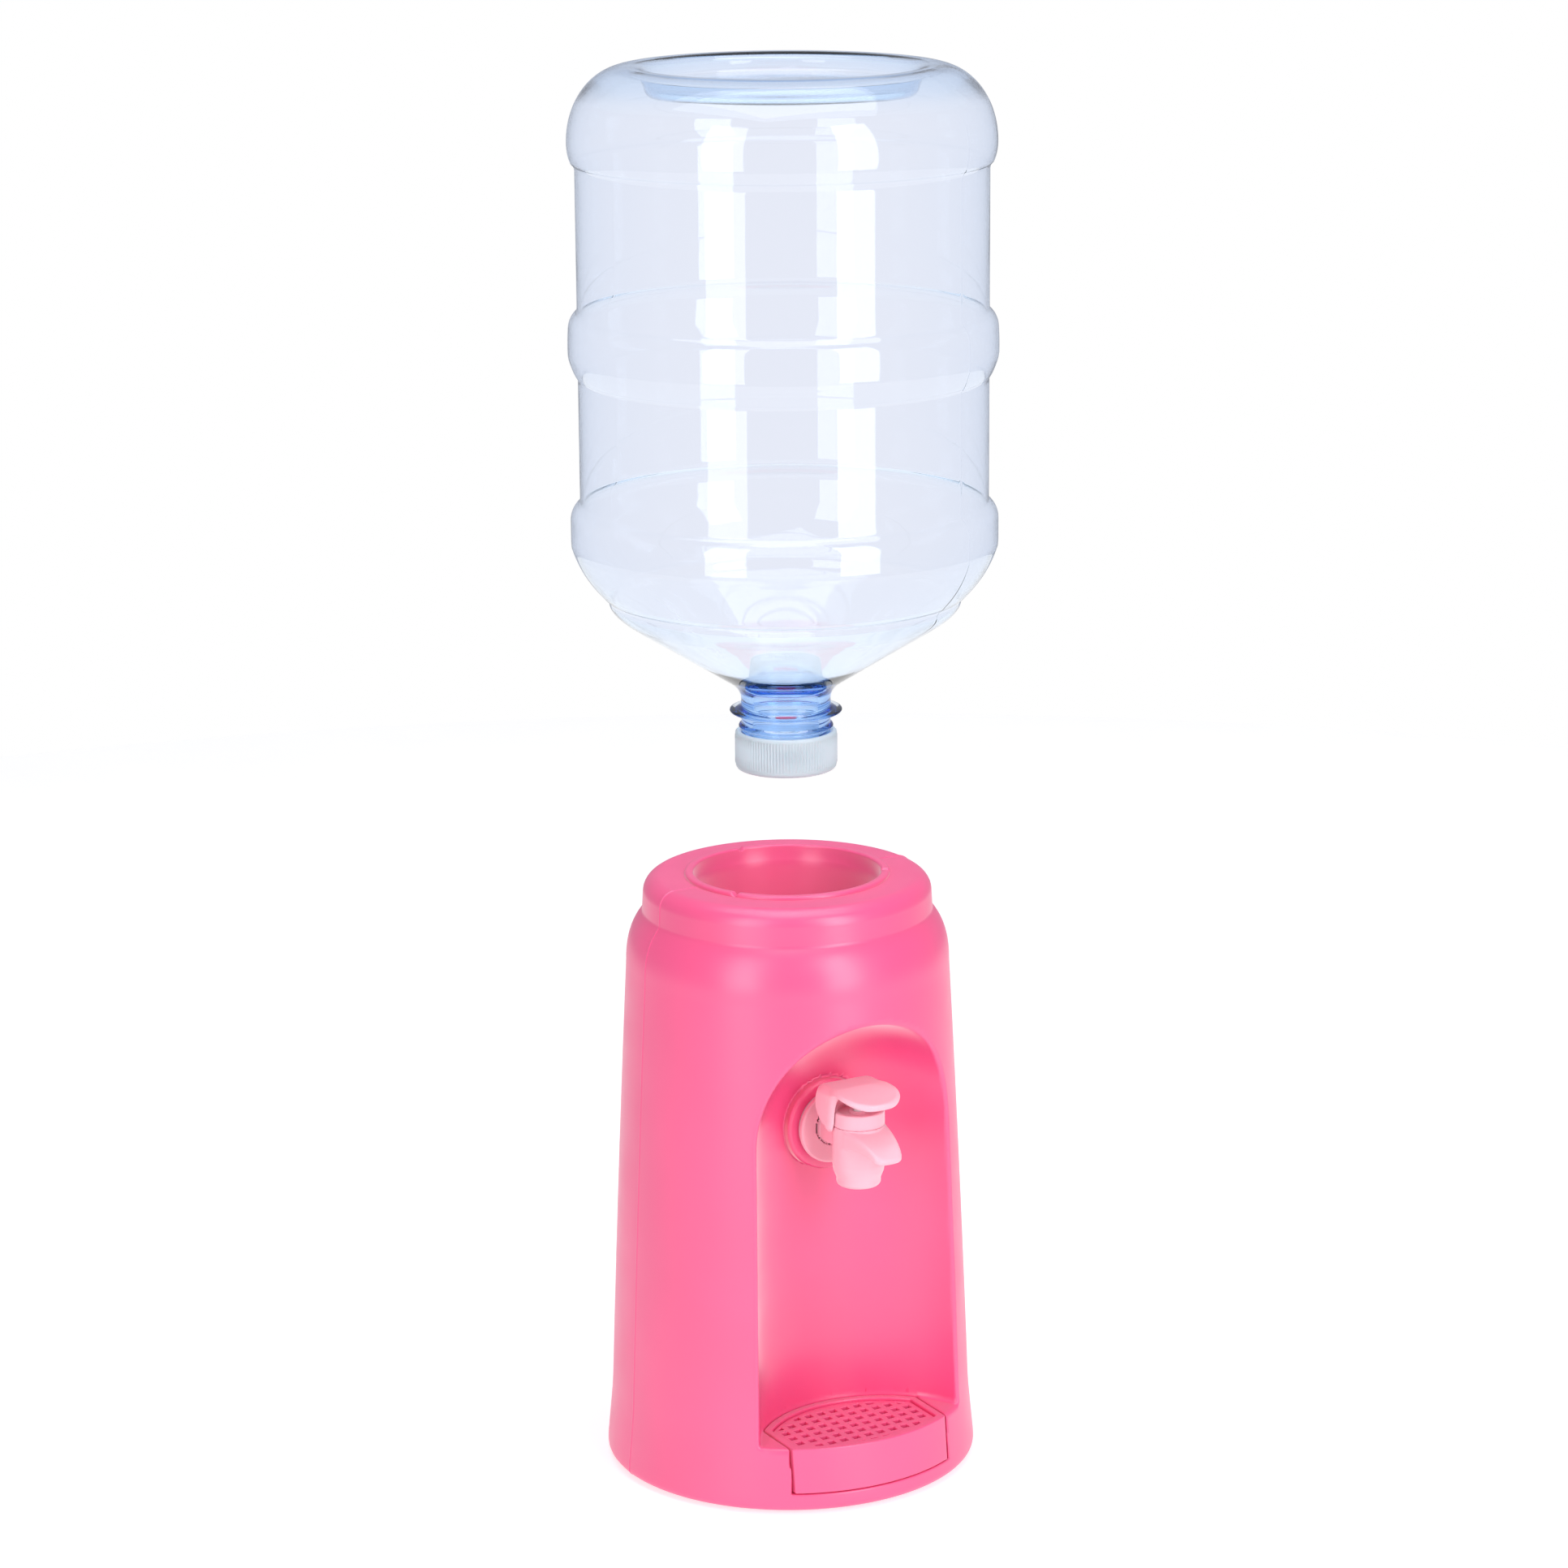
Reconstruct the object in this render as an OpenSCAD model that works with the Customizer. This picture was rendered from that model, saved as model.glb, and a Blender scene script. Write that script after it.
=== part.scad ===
// Countertop water dispenser: a small gravity cooler with an upturned bottle,
// a can-shaped base with an arched niche, a press-down tap and a drip tray.
// Millimetres, +Z up, origin on the table under the middle of the base.
// The niche and the tap face -Y. The bottle is drawn held above its seat.

/* [Base] */
// Height of the flat top of the housing
base_h = 188; // [186:0.5:190]
// Largest radius of the housing, at its foot
foot_r = 58; // [57:0.1:59]
// Radius where the foot's flare ends
flare_r = 56.2; // [55.8:0.1:56.6]
// Radius where the shoulder starts
shoulder_r = 49.95; // [49.5:0.05:50.4]
// Radius of the flat ring on top
ring_r = 44.8; // [44:0.1:45.5]
// Wall thickness of the housing
wall = 2.2; // [1.8:0.1:2.4]

/* [Niche] */
// Radius of the niche, in plan and at its arched top
niche_r = 38; // [37.5:0.1:38.2]
// Distance of the niche's axis in front of the base's axis
niche_y = 57.5; // [57:0.1:58]
// Height of the niche's floor
niche_floor = 21; // [20:0.5:22]
// Height where the arch springs
niche_spring = 114.5; // [112:0.5:116]

/* [Reservoir] */
// Inner radius of the well's mouth
well_r = 28.3; // [27.5:0.1:28.5]
// Outer radius of the raised lip
lip_r = 31.6; // [31:0.1:33]
// Inner radius of the sump that the tap draws from
sump_r = 15; // [14.5:0.1:15.2]
// Height of the sump's underside
sump_z = 97; // [94:0.5:100]

/* [Tap] */
// Height of the tap's shank
tap_z = 114; // [113:0.5:115]
// Distance of the tap's barrel in front of the base's axis
tap_y = 43; // [42:0.5:44]
// Radius of the tap's barrel
barrel_r = 8; // [7.8:0.1:8.2]

/* [Tray] */
// Half the width of the drip tray
tray_w = 27.5; // [26:0.5:28]
// Height of the tray's underside
tray_z = 7; // [6.8:0.1:8]
// Spacing of the holes in the grate
hole_pitch = 4.35; // [4:0.05:5]
// Side of each square hole
hole_w = 2.4; // [2:0.1:2.6]

/* [Bottle] */
// How far the bottle is held above its seat
lift = 67; // [0:1:67]
// Radius of the bottle's straight walls
bottle_r = 61.6; // [60:0.1:62]
// Radius of the bottle's raised bands
band_r = 64.5; // [64:0.1:65]
// Outer radius of the bottle's neck
neck_r = 13.65; // [13.5:0.05:13.7]
// Outer radius of the screw cap
cap_r = 15.65; // [15.4:0.05:16]
// Wall thickness of the bottle
bottle_wall = 0.9; // [0.6:0.1:1]

/* [Hidden] */
$fn = 96;

PINK = [1.0, 0.42, 0.64];
LIGHT_PINK = [1.0, 0.72, 0.80];
CLEAR_BLUE = [0.78, 0.84, 0.97, 0.5];
MILKY = [0.93, 0.94, 0.96];
RUBBER = [0.85, 0.82, 0.84];
STEEL = [0.72, 0.73, 0.75];

slack = 0.3;            // gap round parts that lift or slide out
run_fit = 0.06;         // radial clearance of a pin or stem in its hole
base_z = 1;             // bottom edge of the housing
foot_round = 2.5;       // rounding of the bottom edge
flare_z = 22;
shoulder_z = 161;
crease_z = 176.9;       // crease between the shoulder and the top ring
side_bulge = 0.28;      // how far the side bows out between flare and shoulder
top_wall = 2.4;
ring_round = 5.2;       // rounding of the top ring's upper edge
ring_draft = 0.3;       // how far the top ring narrows above the crease

boss_r = 14.4;          // round pad that the tap bolts against
boss_y = 25.5;
shank_r = 5.6;
shank_hole_r = 6;
niche_back = niche_y - niche_r;

plate_z = 1.4;
plate_t = 2;
foot_ring_r = 46;       // circle that the rubber feet stand on
pad_r = 6;
screw_ring_r = 44;
screw_angles = [0, 90, 180];

lip_h = 1.2;
lip_in_r = 28.9;
well_wall = 1.6;
well_low = 152;         // the well is straight above this height
sump_top = 128;         // the sump is straight below this height
pad_y = 12;             // inner face of the sump's outlet pad
notch_angles = [90, 210, 330];      // V notches in the lip

barrel_bot = 104.7;
nozzle_r = 6.8;
nozzle_bot = 100;
bonnet_z = 119.2;
bonnet_h = 4.7;
chamber_r = 5.8;
chamber_z = 108.5;
seat_z = 106.5;
stem_r = 1.5;
collar_z = 115.7;       // underside of the stem's collar, which the spring lifts
pivot_y = 39.2;
pivot_z = 121.4;
pin_r = 1.1;
arm_in = 8.3;
arm_out = 9.8;
paddle_r = 10.3;        // radius of the thumb paddle's round end
pad_z = 125.5;          // underside of the lever's pad over the stem
flange_r = 11.5;
flange_y = 26.5;
flange_t = 1.9;
dish_deep = 1;          // depth of the flange's dished front
neck_w = 4.5;           // half the width of the neck between barrel and flange
neck_bot = 110.5;
gasket_t = 1;

tray_top = 21;
tray_rim = 2.5;
grate_t = 2.4;
grate_z = 17.8;
tray_front_r = 56.3;    // radius of the tray's front at its rim

mouth_z = base_h + lift - 30.9;     // height of the bottle's mouth
cap_h = 12;
cap_end = 1.5;
liner_t = 1;

// ---- Points along arcs and curves ----

function lerp(a, b, t) = a + (b - a) * t;

function arc(c, r, a0, a1, n) =
    [for (i = [0:n]) let (a = lerp(a0, a1, i / n)) c + r * [cos(a), sin(a)]];

function bend(a, b, c, n) =
    [for (i = [0:n]) let (t = i / n) pow(1 - t, 2) * a + 2 * t * (1 - t) * b + t * t * c];

// Points of a path moved to its left by d
function beside(p, d) = [for (i = [0:len(p) - 1])
    let (q = p[min(i + 1, len(p) - 1)] - p[max(i - 1, 0)], n = [-q[1], q[0]] / norm(q)) p[i] + d * n];

function reversed(p) = [for (i = [len(p) - 1:-1:0]) p[i]];

// ---- Base ----

function side_r(z) = let (t = (z - flare_z) / (shoulder_z - flare_z))
    lerp(flare_r, shoulder_r, t) + side_bulge * 4 * t * (1 - t);

shoulder = bend([shoulder_r, shoulder_z], [shoulder_r + 0.15, 171.2], [ring_r, crease_z], 8);

// Outline of the housing's side from the foot's flare to the crease, moved in by inset
function side_points(inset) = concat(
    [for (i = [0:6]) let (z = lerp(flare_z, shoulder_z, i / 6)) [side_r(z) - inset, z]],
    [for (i = [1:8]) shoulder[i] - inset * [1, i / 8]]);

module body_solid() {
    rotate_extrude() polygon(concat(
        [[0, base_z]],
        arc([foot_r - foot_round, base_z + foot_round], foot_round, -90, 0, 5),
        side_points(0),
        arc([ring_r - ring_draft - ring_round, base_h - ring_round], ring_round, 0, 90, 8),
        [[0, base_h]]));
}

module body_cavity() {
    rotate_extrude() polygon(concat(
        [[0, -1], [foot_r - wall, -1], [foot_r - wall, base_z + foot_round]],
        side_points(wall),
        [[ring_r - wall - ring_draft, base_h - top_wall - 2.4],
            [ring_r - wall - 2.8, base_h - top_wall], [0, base_h - top_wall]]));
}

module niche_solid(grow) {
    translate([0, -niche_y, niche_floor - grow]) {
        cylinder(r = niche_r + grow, h = niche_spring - niche_floor + grow);
        translate([0, 0, niche_spring - niche_floor + grow]) sphere(r = niche_r + grow);
    }
}

// Plan of the drip tray: the niche's round back between two straight sides
module tray_plan(inset, front_r) {
    intersection() {
        translate([0, -niche_y]) circle(r = niche_r - inset, $fn = 180);
        translate([-tray_w + inset, -80]) square([2 * (tray_w - inset), 80]);
        circle(r = front_r, $fn = 180);
    }
}

module tray_pocket(grow) {
    translate([0, 0, tray_z - slack - grow])
        linear_extrude(niche_floor - tray_z + slack + grow + 0.5) tray_plan(-slack - grow, 70);
}

module around_y(y, z) {
    translate([0, y, z]) rotate([90, 0, 0]) children();
}

module screw_bosses() {
    for (a = screw_angles) rotate(a) {
        translate([screw_ring_r, 0, plate_z + 4.1]) cylinder(r = 4, h = 18);
        translate([screw_ring_r, -1, plate_z + 4.1]) cube([14, 2, 18]);
    }
}

module housing() {
    color(PINK) difference() {
        body_solid();
        difference() {
            body_cavity();
            niche_solid(wall);
            tray_pocket(wall);
            screw_bosses();
        }
        difference() {
            niche_solid(0);
            around_y(-niche_back + 1, tap_z) cylinder(r = boss_r, h = boss_y - niche_back + 1);
        }
        tray_pocket(0);
        translate([0, 0, base_h - 10]) cylinder(r = well_r + well_wall + slack, h = 11);
        around_y(0, tap_z) cylinder(r = shank_hole_r, h = boss_y + 1);
        for (a = screw_angles) rotate(a)
            translate([screw_ring_r, 0, plate_z]) cylinder(r = 1.5, h = 18);
    }
}

// Height and radius of the reservoir's wall, inside or outside
function well_points(r0, r1, z1) = [[r0, well_low], [r1, sump_top], [r1, z1], [0, z1]];

module reservoir() {
    color(PINK) difference() {
        union() {
            difference() {
                rotate_extrude() polygon(concat(
                    [[0, base_h + lip_h]],
                    arc([lip_r - 0.8, base_h + lip_h - 0.8], 0.8, 90, 0, 3),
                    [[lip_r, base_h], [well_r + well_wall, base_h]],
                    well_points(well_r + well_wall, sump_r + well_wall, sump_z)));
                rotate_extrude() polygon(concat(
                    [[0, base_h + lip_h + 1], [lip_in_r, base_h + lip_h + 1], [lip_in_r, base_h + 0.6],
                        [well_r, base_h - 2]],
                    well_points(well_r, sump_r, sump_z + well_wall)));
            }
            intersection() {
                around_y(-pad_y, tap_z) cylinder(r = 9.6, h = sump_r + well_wall - pad_y);
                cylinder(r = sump_r + 0.5, h = base_h);
            }
        }
        around_y(0, tap_z) cylinder(r = shank_hole_r, h = 30);
        for (a = notch_angles) rotate(a) translate([lip_in_r, 0, base_h + lip_h])
            rotate([0, 90, 0]) cylinder(r = 1.1, h = 3.6, center = true, $fn = 4);
    }
}

module base_plate() {
    color(PINK) difference() {
        union() {
            translate([0, 0, plate_z]) cylinder(r = foot_r - wall - slack, h = plate_t);
            for (a = screw_angles) rotate(a)
                translate([screw_ring_r, 0, plate_z]) cylinder(r = 5, h = 4);
        }
        for (a = screw_angles) rotate(a) translate([screw_ring_r, 0, 0]) {
            cylinder(r = 3.4, h = plate_z + 2.2);
            cylinder(r = 1.7, h = 10);
        }
        for (i = [0:3]) rotate(45 + 90 * i) translate([foot_ring_r, 0, 0])
            cylinder(r = pad_r + 0.2, h = plate_z + 0.6);
    }
}

module foot(i) {
    color(RUBBER) rotate(45 + 90 * i) translate([foot_ring_r, 0, 0]) {
        cylinder(r1 = pad_r - 0.5, r2 = pad_r, h = 0.5);
        translate([0, 0, 0.5]) cylinder(r = pad_r, h = plate_z + 0.1);
    }
}

module plate_screws() {
    color(STEEL) for (a = screw_angles) rotate(a) translate([screw_ring_r, 0, 0]) difference() {
        union() {
            translate([0, 0, plate_z + 0.3]) cylinder(r1 = 2.7, r2 = 3.1, h = 1.9);
            translate([0, 0, plate_z + 2.2]) cylinder(r = 1.4, h = 13);
        }
        for (turn = [0, 90]) rotate(turn)
            translate([-1.8, -0.4, plate_z]) cube([3.6, 0.8, 1.3]);
    }
}

// ---- Tap ----

// Side view of the tap's beak: distance in front of the axis, and height
beak_side = concat(
    [[tap_y, bonnet_z]],
    bend([tap_y + 3.5, bonnet_z], [tap_y + 13.5, 118], [tap_y + 19.2, 113.6], 8),
    arc([tap_y + 18.4, 112.9], 1.1, 10, -90, 4),
    bend([tap_y + 17.5, 111.8], [tap_y + 7, 116.4], [tap_y, 110.2], 8));

// Half the beak's plan, from the barrel to its tip
beak_plan = concat(
    [[tap_y, 7.5], [tap_y + 4, 7.5]],
    bend([tap_y + 5, 7.3], [tap_y + 14, 5.9], [tap_y + 17, 4.9], 6),
    bend([tap_y + 17.6, 4.7], [tap_y + 19.5, 3.8], [tap_y + 19.5, 1.5], 4));

// Stands an outline of [forward, up] points upright along the YZ plane, w either side of it
module side_slab(points, w) {
    rotate([90, 0, -90]) translate([0, 0, -w]) linear_extrude(2 * w) polygon(points);
}

// Lays an outline of [forward, half width] points flat, mirrored about the middle
module plan_slab(points, z0, z1) {
    translate([0, 0, z0]) linear_extrude(z1 - z0)
        polygon(concat([for (p = points) [p[1], -p[0]]], [for (p = reversed(points)) [-p[1], -p[0]]]));
}

module at_tap(z) {
    translate([0, -tap_y, z]) children();
}

module tap_body() {
    color(LIGHT_PINK) difference() {
        union() {
            at_tap(nozzle_bot) cylinder(r1 = nozzle_r - 0.6, r2 = nozzle_r, h = 0.6);
            at_tap(nozzle_bot + 0.6) cylinder(r = nozzle_r, h = 1.5);
            at_tap(nozzle_bot + 2.1) cylinder(r1 = nozzle_r, r2 = barrel_r, h = barrel_bot - nozzle_bot - 2.1);
            at_tap(barrel_bot) cylinder(r = barrel_r, h = bonnet_z - barrel_bot);
            intersection() {
                side_slab(beak_side, 8);
                plan_slab(beak_plan, barrel_bot, bonnet_z + 1);
            }
            translate([-neck_w, -tap_y + 4, neck_bot])
                cube([2 * neck_w, tap_y - 4 - flange_y - 0.4, bonnet_z - 0.3 - neck_bot]);
            around_y(-6, tap_z) cylinder(r = shank_r, h = flange_y - 6 + 0.4);
            around_y(-flange_y, tap_z) difference() {
                cylinder(r = flange_r, h = flange_t);
                translate([0, 0, flange_t - dish_deep]) cylinder(r1 = 5, r2 = 10.6, h = dish_deep + 0.01);
            }
        }
        at_tap(chamber_z) cylinder(r = chamber_r, h = 20);
        at_tap(seat_z - 1) cylinder(r = 3, h = 4);
        at_tap(nozzle_bot - 1) cylinder(r = 5, h = seat_z - nozzle_bot + 1);
        around_y(-5, tap_z) cylinder(r = 2.4, h = tap_y - 5);
    }
}

module tap_bonnet() {
    color(LIGHT_PINK) difference() {
        union() {
            at_tap(bonnet_z) cylinder(r = barrel_r, h = bonnet_h);
            at_tap(bonnet_z - 2.1) cylinder(r = chamber_r - 0.05, h = 2.2);
            for (side = [-1, 1]) translate([side * 7.2, -pivot_y, pivot_z])
                rotate([0, 90, 0]) cylinder(r = 2.1, h = 1.8, center = true);
        }
        at_tap(bonnet_z + bonnet_h - 1) difference() {
            cylinder(r = 6.4, h = 2);
            cylinder(r = 2.8, h = 0.7);
        }
        at_tap(bonnet_z - 5) cylinder(r = stem_r + run_fit, h = 20);
        at_tap(bonnet_z + 0.1) cylinder(r = 2.9, h = 1.4);
        for (side = [-1, 1]) translate([side * 7.6, -pivot_y, pivot_z])
            rotate([0, 90, 0]) cylinder(r = pin_r, h = 4, center = true);
    }
}

module lever_pins() {
    color(STEEL) for (side = [-1, 1]) translate([side * 7.4, -pivot_y, pivot_z])
        rotate([0, 90, 0]) cylinder(r = pin_r, h = 3.6, center = true);
}

// Side view of the lever's thumb paddle: distance in front of the axis, and height
paddle_top = concat(
    bend([33, 129.2], [33.6, 131.2], [37, 131.3], 5),
    bend([44, 131.5], [50, 130.9], [56.2, 129.8], 6));
paddle_under = concat(
    arc([56.5, 128.5], 1.4, 50, -100, 5),
    bend([54.5, 127.7], [50, 129.5], [46, 129.7], 5),
    [[36, 129.7]]);

// Half the paddle's plan, from its rear edge to its round tip
paddle_plan = concat(
    [[33, 9], [33.6, arm_out], [40, arm_out], [44, arm_out + 0.4]],
    arc([47.6, 0], paddle_r, 90, 0, 12));

// Side view of one of the lever's two arms
arm_side = concat(
    bend([33.2, 130.2], [31, 127], [31.8, 123.9], 5),
    bend([31.8, 123.9], [32.6, 120], [37.4, 117.6], 5),
    arc([39.9, 119.3], 2.6, 215, 345, 6),
    bend([43, 120.5], [43.2, 127.2], [46.4, 129.6], 6),
    [[47, 129.8], [46, 131.2], [37, 131.1], [34.2, 130.8]]);

module tap_lever() {
    color(LIGHT_PINK) difference() {
        union() {
            intersection() {
                side_slab(concat(paddle_top, paddle_under), paddle_r);
                plan_slab(paddle_plan, 120, 140);
            }
            difference() {
                side_slab(arm_side, arm_out);
                translate([-arm_in, -60, 100]) cube([2 * arm_in, 60, 40]);
            }
            at_tap(pad_z) cylinder(r = 2.2, h = 5);
        }
        translate([0, -54.6, 151.6]) sphere(r = 22);
        for (side = [-1, 1]) translate([side * (arm_in + 0.5), -pivot_y, pivot_z])
            rotate([0, 90, 0]) cylinder(r = pin_r + run_fit, h = 1.01, center = true);
    }
}

module valve_stem() {
    color(MILKY) {
        at_tap(seat_z - 3) cylinder(r = 2.6, h = 1);
        at_tap(seat_z - 2.5) cylinder(r = stem_r, h = pad_z - seat_z + 2.5 - 0.15);
        at_tap(collar_z) cylinder(r = 5, h = 1.2);
    }
}

module valve_seal() {
    color(RUBBER) at_tap(seat_z - 2) difference() {
        cylinder(r1 = 3.7, r2 = 4.2, h = 1.9);
        translate([0, 0, -1]) cylinder(r = stem_r, h = 4);
    }
}

spring_r = 4.3;
spring_wire = 0.35;
spring_turns = 5;
spring_sides = 8;
spring_steps = 16 * spring_turns;

// A coil spring as one tube swept along a helix
module valve_spring() {
    z0 = chamber_z + spring_wire;
    z1 = collar_z - spring_wire;
    rings = [for (i = [0:spring_steps]) for (k = [0:spring_sides - 1])
        let (a = 360 * spring_turns * i / spring_steps, b = 360 * k / spring_sides,
            r = spring_r + spring_wire * cos(b))
        [r * cos(a), r * sin(a), lerp(z0, z1, i / spring_steps) + spring_wire * sin(b)]];
    walls = [for (i = [0:spring_steps - 1]) for (k = [0:spring_sides - 1])
        let (a = i * spring_sides + k, b = i * spring_sides + (k + 1) % spring_sides)
        [a, a + spring_sides, b + spring_sides, b]];
    ends = [[for (k = [0:spring_sides - 1]) k],
        [for (k = [spring_sides - 1:-1:0]) spring_steps * spring_sides + k]];
    color(STEEL) at_tap(0) polyhedron(rings, concat(walls, ends));
}

module stem_o_ring() {
    color(RUBBER) at_tap(bonnet_z + 0.8)
        rotate_extrude() translate([2.2, 0]) circle(r = 0.62, $fn = 24);
}

module washer(y, r, hole, t) {
    around_y(-y, tap_z) difference() {
        cylinder(r = r, h = t);
        translate([0, 0, -1]) cylinder(r = hole, h = t + 2);
    }
}

module flange_gasket() {
    color(RUBBER) washer(boss_y, 10.9, shank_r + 0.2, gasket_t);
}

module inner_gasket() {
    color(RUBBER) washer(pad_y - gasket_t, 8.4, shank_r + 0.2, gasket_t);
}

module tap_nut() {
    color(LIGHT_PINK) around_y(-pad_y + gasket_t + 4.5, tap_z) difference() {
        cylinder(r = 8.6, h = 4.5, $fn = 6);
        translate([0, 0, -1]) cylinder(r = shank_r + 0.05, h = 8);
    }
}

// ---- Drip tray ----

module drip_tray() {
    color(PINK) difference() {
        intersection() {
            translate([0, 0, tray_z]) linear_extrude(tray_top - tray_z) tray_plan(slack, 70);
            body_solid();
        }
        translate([0, 0, grate_z]) linear_extrude(10)
            tray_plan(tray_rim, tray_front_r - tray_rim);
        translate([0, 0, tray_z + 2]) linear_extrude(20)
            tray_plan(tray_rim + 1.8, tray_front_r - tray_rim - 1.8);
    }
}

module drip_grate() {
    field = tray_rim + slack + 1.2;
    color(PINK) translate([0, 0, grate_z]) linear_extrude(grate_t) difference() {
        tray_plan(tray_rim + slack, tray_front_r - tray_rim - slack);
        intersection() {
            tray_plan(field, tray_front_r - field);
            for (i = [-5:5]) for (j = [0:8])
                translate([i * hole_pitch - hole_w / 2, -22.4 - j * hole_pitch - hole_w / 2]) square(hole_w);
        }
    }
}

// ---- Bottle, drawn upside down with heights measured up from its mouth ----

neck_path = concat(
    [[neck_r - 0.6, 0], [neck_r, 0.6], [neck_r, 10]],
    bend([neck_r, 10.1], [neck_r + 1.6, 10.9], [neck_r, 11.7], 4),
    [[neck_r, 15], [17.1, 15.4], [17.1, 16.2], [neck_r, 17]]);

shell_path = concat(
    bend([neck_r, 21], [neck_r, 22.6], [17.4, 25], 5),
    bend([47.2, 43.7], [52.6, 47.1], [53.3, 49.5], 6),
    [[53.7, 51], [55.2, 52.2]],
    bend([56.4, 53.9], [62, 59.6], [band_r - 0.1, 67.4], 8),
    bend([band_r, 75], [band_r, 77.8], [bottle_r, 80.8], 6),
    bend([bottle_r, 119], [bottle_r + 1.6, 120.6], [band_r - 0.2, 124.4], 5),
    bend([band_r, 127], [band_r, 130], [band_r - 0.3, 133.4], 6),
    bend([band_r - 0.6, 135.2], [bottle_r + 0.2, 136.6], [bottle_r, 139], 5),
    bend([bottle_r, 178.5], [bottle_r - 0.4, 181.2], [bottle_r + 1.2, 183.6], 5),
    [for (a = [0:7.5:90]) [46.1 + 17.8 * cos(a), 188.7 + 22.1 * sin(a)]],
    bend([42.6, 210.8], [40.9, 210.6], [40, 208.4], 4),
    bend([37, 203], [30, 199.5], [0, 198.5], 8));

module bottle() {
    inner = beside(shell_path, bottle_wall);
    color(CLEAR_BLUE) translate([0, 0, mouth_z]) rotate_extrude($fn = 180) polygon(concat(
        neck_path, shell_path,
        [[0, inner[len(inner) - 1][1]]],
        reversed([for (i = [4:len(inner) - 2]) inner[i]]),
        [[10.9, 22], [10.9, 0]]));
}

module bottle_cap() {
    z = mouth_z - liner_t - cap_end;
    color(MILKY) translate([0, 0, z]) rotate_extrude() polygon(concat(
        [[6, 0]],
        arc([cap_r - 1.4, 1.4], 1.4, -90, 0, 4),
        [[cap_r, cap_h - 0.8], [cap_r - 0.8, cap_h], [neck_r + 0.45, cap_h],
            [neck_r + 0.45, cap_end], [6, cap_end]]));
}

module cap_liner() {
    color(RUBBER) translate([0, 0, mouth_z - liner_t]) difference() {
        cylinder(r = neck_r, h = liner_t - 0.05);
        translate([0, 0, -1]) cylinder(r = 6.6, h = 4);
    }
}

housing();
reservoir();
base_plate();
foot(0);  // foot_1
foot(1);  // foot_2
foot(2);  // foot_3
foot(3);  // foot_4
plate_screws();
tap_body();
tap_bonnet();
tap_lever();
lever_pins();
valve_stem();
valve_seal();
valve_spring();
stem_o_ring();
flange_gasket();
inner_gasket();
tap_nut();
drip_tray();
drip_grate();
bottle();
bottle_cap();
cap_liner();
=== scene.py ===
"""A countertop water dispenser: a moulded base with an arched niche, a press-down tap and a
drip tray, and a clear bottle held upside down above the well that it stands in.
Shapes are worked out in millimetres, in the frame's own axes: the niche and the tap face -Y."""
import math

import bpy
import numpy as np
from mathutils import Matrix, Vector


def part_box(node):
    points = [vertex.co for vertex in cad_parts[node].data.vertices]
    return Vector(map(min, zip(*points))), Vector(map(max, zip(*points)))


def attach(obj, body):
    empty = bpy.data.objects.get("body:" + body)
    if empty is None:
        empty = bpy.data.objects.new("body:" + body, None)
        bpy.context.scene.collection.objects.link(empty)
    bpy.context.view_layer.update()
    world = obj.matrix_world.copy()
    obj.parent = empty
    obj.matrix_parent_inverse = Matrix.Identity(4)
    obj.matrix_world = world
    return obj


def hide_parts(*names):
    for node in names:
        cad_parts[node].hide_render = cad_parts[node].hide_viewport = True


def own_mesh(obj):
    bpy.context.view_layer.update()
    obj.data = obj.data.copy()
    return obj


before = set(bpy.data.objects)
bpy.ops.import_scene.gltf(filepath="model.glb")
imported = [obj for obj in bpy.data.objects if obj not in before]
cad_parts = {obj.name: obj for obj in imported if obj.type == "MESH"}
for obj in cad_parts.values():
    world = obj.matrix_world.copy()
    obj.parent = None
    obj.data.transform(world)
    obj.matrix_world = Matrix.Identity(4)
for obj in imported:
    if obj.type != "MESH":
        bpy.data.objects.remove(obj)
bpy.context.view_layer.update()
MM = 0.001


def cad_box_mm(node):
    """Lowest and highest corner of a CAD node, in millimetres."""
    return [np.array(corner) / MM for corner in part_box(node)]


# ---- Driving sizes, from the frame where it has them ----

BASE_TOP = cad_box_mm("housing")[1][2]
FOOT_Z = cad_box_mm("housing")[0][2]
FOOT_R = cad_box_mm("housing")[1][0]
FLARE_R, FLARE_Z = 56.2, 22.0
SHOULDER_R, SHOULDER_Z = 49.95, 161.0
RING_R, CREASE_Z, RING_ROUND = 44.8, 176.9, 5.2
WALL = 2.2

NICHE_R = 38.0
NICHE_Y = -57.5
NICHE_FLOOR = cad_box_mm("drip_tray")[1][2]
NICHE_SPRING = 114.5

TAP_Y = -43.0
TAP_Z = 114.0
BOSS_R, BOSS_Y = 14.4, -25.5
BONNET_Z, BONNET_TOP = 119.2, cad_box_mm("tap_bonnet")[1][2]
PIVOT_Y, PIVOT_Z = -39.2, 121.4
NOZZLE_Z = cad_box_mm("tap_body")[0][2]

TRAY_W = 27.5
TRAY_Z = cad_box_mm("drip_tray")[0][2]
TRAY_RIM = 2.5
TRAY_FRONT_R = 56.3
SLACK = 0.3
GRATE_Z, GRATE_TOP = cad_box_mm("drip_grate")[0][2], cad_box_mm("drip_grate")[1][2]
HOLE_PITCH, HOLE_W = 4.35, 2.4

WELL_R, WELL_WALL = 28.3, 1.6
LIP_R, LIP_IN_R = 31.6, 28.9
LIP_TOP = cad_box_mm("reservoir")[1][2]
SUMP_R, SUMP_Z = 15.0, cad_box_mm("reservoir")[0][2]
NOTCH_ANGLES = (90, 210, 330)

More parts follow.
